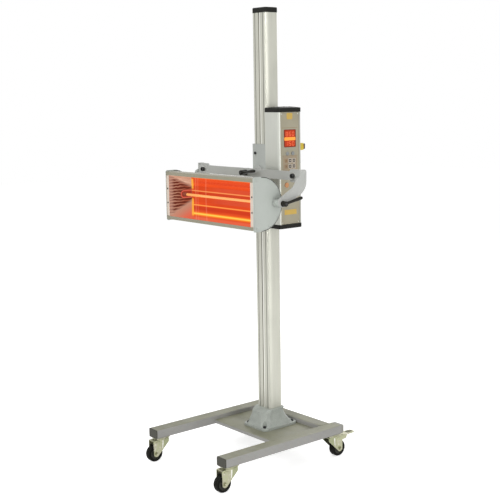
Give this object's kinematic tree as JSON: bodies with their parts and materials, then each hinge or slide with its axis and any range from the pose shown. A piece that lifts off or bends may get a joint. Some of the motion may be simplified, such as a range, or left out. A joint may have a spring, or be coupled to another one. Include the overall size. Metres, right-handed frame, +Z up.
{
  "type": "infrared paint curing lamp",
  "caption": "Wheeled stand with a slotted mast, a counterbalanced sliding carriage with a control box, and a swivelling, tilting infrared lamp cassette.",
  "frame": {"origin": "middle of the object's box at floor level, 12 mm to the mast's right and 115 mm in front of the mast's axis", "axes": "+Z up; the lamp and the open ends of the rails face -Y; the control box is on the mast's +X side"},
  "size_m": [0.7338, 0.7974, 1.9922],
  "materials": {
    "frame_paint": "satin warm grey paint on steel tube",
    "cast_foot": "painted casting, slightly grainy light grey",
    "mast_aluminium": "satin anodised extrusion",
    "carriage_paint": "light grey powder coat on extruded aluminium",
    "yoke_paint": "light grey powder coat on steel plate",
    "lamp_paint": "olive grey powder coat on aluminium sheet",
    "lamp_end_paint": "light grey powder coat on aluminium sheet",
    "box_aluminium": "satin anodised extrusion",
    "panel_sheet": "matt beige-grey panel film on sheet",
    "reflector_sheet": "polished reflector sheet",
    "zinc_steel": "zinc plated pressed steel",
    "inner_steel": "plain steel",
    "wheel_rubber": "black rubber tread on a grey rim",
    "black_trim": "matt black moulded plastic",
    "plug_plastic": "dark grey moulded plastic",
    "lever_plastic": "black moulded plastic with a fine grain",
    "quartz": "clear quartz, glowing filament",
    "ceramic": "off-white ceramic",
    "red_window": "transparent dark red window",
    "keypad_mat": "printed silicone mat",
    "button_blue": "grey-blue plastic",
    "button_orange": "translucent orange plastic",
    "switch_yellow": "yellow plastic",
    "switch_red": "red plastic"
  },
  "bodies": {
    "stand": {"rail_left": "frame_paint", "rail_plug_front_left": "plug_plastic", "rail_plug_rear_left": "plug_plastic", "rail_right": "frame_paint", "rail_plug_front_right": "plug_plastic", "rail_plug_rear_right": "plug_plastic", "rear_cross_tube": "frame_paint", "base_plate": "frame_paint", "mast_foot": "cast_foot", "mast": "mast_aluminium", "mast_cap": "black_trim", "caster_plate_front_left": "zinc_steel", "caster_plate_front_right": "zinc_steel", "caster_plate_rear_left": "zinc_steel", "caster_plate_rear_right": "zinc_steel", "pulley_bracket": "inner_steel", "pulley_axle": "inner_steel", "lift_cable": "inner_steel"},
    "caster_front_left": {"caster_fork_front_left": "zinc_steel"},
    "wheel_front_left": {"caster_wheel_front_left": "wheel_rubber"},
    "caster_front_right": {"caster_fork_front_right": "zinc_steel"},
    "wheel_front_right": {"caster_wheel_front_right": "wheel_rubber"},
    "caster_rear_left": {"caster_fork_rear_left": "zinc_steel"},
    "wheel_rear_left": {"caster_wheel_rear_left": "wheel_rubber"},
    "caster_rear_right": {"caster_fork_rear_right": "zinc_steel"},
    "wheel_rear_right": {"caster_wheel_rear_right": "wheel_rubber"},
    "pedal_left": {"brake_pedal_rear_left": "zinc_steel"},
    "pedal_right": {"brake_pedal_rear_right": "zinc_steel"},
    "pulley": {"cable_pulley": "black_trim"},
    "counterweight": {"counterweight": "inner_steel"},
    "carriage": {"carriage": "carriage_paint", "yoke_spindle": "yoke_paint", "cable_clamp": "inner_steel", "control_box": "box_aluminium", "box_cap_top": "black_trim", "box_cap_bottom": "black_trim", "control_panel": "panel_sheet", "display_window": "red_window", "keypad": "keypad_mat", "switch_plate": "switch_yellow", "box_cable_gland": "black_trim"},
    "button_down": {"button_down": "button_blue"},
    "button_up": {"button_up": "button_blue"},
    "button_start": {"button_start": "button_orange"},
    "switch_knob": {"switch_knob": "switch_red"},
    "yoke": {"yoke_bar": "yoke_paint", "yoke_arm_left": "yoke_paint", "yoke_arm_right": "yoke_paint"},
    "swivel_lever": {"swivel_lever": "lever_plastic"},
    "tilt_lever": {"tilt_lever": "lever_plastic"},
    "lamp": {"lamp_housing": "lamp_paint", "end_plate_left": "lamp_end_paint", "end_plate_right": "lamp_end_paint", "reflector": "reflector_sheet", "tube_socket_left": "ceramic", "tube_socket_right": "ceramic", "quartz_tube": "quartz", "pivot_bolt": "black_trim", "lamp_cable_gland": "black_trim"}
  },
  "joints": [
    {"name": "caster_swivel_front_left", "type": "hinge", "parent": "stand", "child": "caster_front_left", "pos_m": [-0.25931, -0.32528, 0.09783], "axis": [0, 0, 1], "continuous": true},
    {"name": "wheel_spin_front_left", "type": "hinge", "parent": "caster_front_left", "child": "wheel_front_left", "pos_m": [-0.25931, -0.36128, 0.03743], "axis": [1, 0, 0], "continuous": true},
    {"name": "caster_swivel_front_right", "type": "hinge", "parent": "stand", "child": "caster_front_right", "pos_m": [0.23569, -0.32528, 0.09783], "axis": [0, 0, 1], "continuous": true},
    {"name": "wheel_spin_front_right", "type": "hinge", "parent": "caster_front_right", "child": "wheel_front_right", "pos_m": [0.23569, -0.36128, 0.03743], "axis": [1, 0, 0], "continuous": true},
    {"name": "caster_swivel_rear_left", "type": "hinge", "parent": "stand", "child": "caster_rear_left", "pos_m": [-0.25931, 0.26272, 0.09783], "axis": [0, 0, 1], "continuous": true},
    {"name": "wheel_spin_rear_left", "type": "hinge", "parent": "caster_rear_left", "child": "wheel_rear_left", "pos_m": [-0.25931, 0.29872, 0.03743], "axis": [1, 0, 0], "continuous": true},
    {"name": "caster_swivel_rear_right", "type": "hinge", "parent": "stand", "child": "caster_rear_right", "pos_m": [0.23569, 0.26272, 0.09783], "axis": [0, 0, 1], "continuous": true},
    {"name": "wheel_spin_rear_right", "type": "hinge", "parent": "caster_rear_right", "child": "wheel_rear_right", "pos_m": [0.23569, 0.29872, 0.03743], "axis": [1, 0, 0], "continuous": true},
    {"name": "pedal_press_left", "type": "hinge", "parent": "caster_rear_left", "child": "pedal_left", "pos_m": [-0.25931, 0.29672, 0.08693], "axis": [-1, 0, 0], "range_deg": [0, 7.5]},
    {"name": "pedal_press_right", "type": "hinge", "parent": "caster_rear_right", "child": "pedal_right", "pos_m": [0.23569, 0.29672, 0.08693], "axis": [-1, 0, 0], "range_deg": [0, 7.5]},
    {"name": "carriage_slide", "type": "slide", "parent": "stand", "child": "carriage", "axis": [0, 0, 1], "range_m": [-0.7, 0.38], "deforming": ["lift_cable"]},
    {"name": "counterweight_slide", "type": "slide", "parent": "stand", "child": "counterweight", "axis": [0, 0, 1], "range_m": [-0.385, 0.705]},
    {"name": "pulley_spin", "type": "hinge", "parent": "stand", "child": "pulley", "pos_m": [-0.01181, 0.11272, 1.92493], "axis": [1, 0, 0], "range_deg": [-1215, 2235]},
    {"name": "yoke_swivel", "type": "hinge", "parent": "carriage", "child": "yoke", "pos_m": [-0.01181, 0.00212, 1.28843], "axis": [0, 1, 0], "range_deg": [-90, 90]},
    {"name": "lamp_tilt", "type": "hinge", "parent": "yoke", "child": "lamp", "pos_m": [-0.01181, -0.09928, 1.18393], "axis": [1, 0, 0], "range_deg": [-40, 90]},
    {"name": "swivel_lever_turn", "type": "hinge", "parent": "yoke", "child": "swivel_lever", "pos_m": [-0.01181, -0.00418, 1.28843], "axis": [0, 1, 0], "range_deg": [-120, 30]},
    {"name": "tilt_lever_turn", "type": "hinge", "parent": "yoke", "child": "tilt_lever", "pos_m": [0.33629, -0.09928, 1.18393], "axis": [1, 0, 0], "range_deg": [-60, 60]},
    {"name": "button_down_press", "type": "slide", "parent": "carriage", "child": "button_down", "axis": [-1, 0, 0], "range_m": [0, 0.0015], "stiffness_N_per_m": 400},
    {"name": "button_up_press", "type": "slide", "parent": "carriage", "child": "button_up", "axis": [-1, 0, 0], "range_m": [0, 0.0015], "stiffness_N_per_m": 400},
    {"name": "button_start_press", "type": "slide", "parent": "carriage", "child": "button_start", "axis": [-1, 0, 0], "range_m": [0, 0.0015], "stiffness_N_per_m": 400},
    {"name": "main_switch_turn", "type": "hinge", "parent": "carriage", "child": "switch_knob", "pos_m": [0.11079, 0.20932, 1.39493], "axis": [0, 1, 0], "range_deg": [0, 90]}
  ],
  "couplings": [
    {"joint": "counterweight_slide", "follows": "carriage_slide", "ratio": -1},
    {"joint": "pulley_spin", "follows": "carriage_slide", "rad_per_m": -55.556}
  ]
}
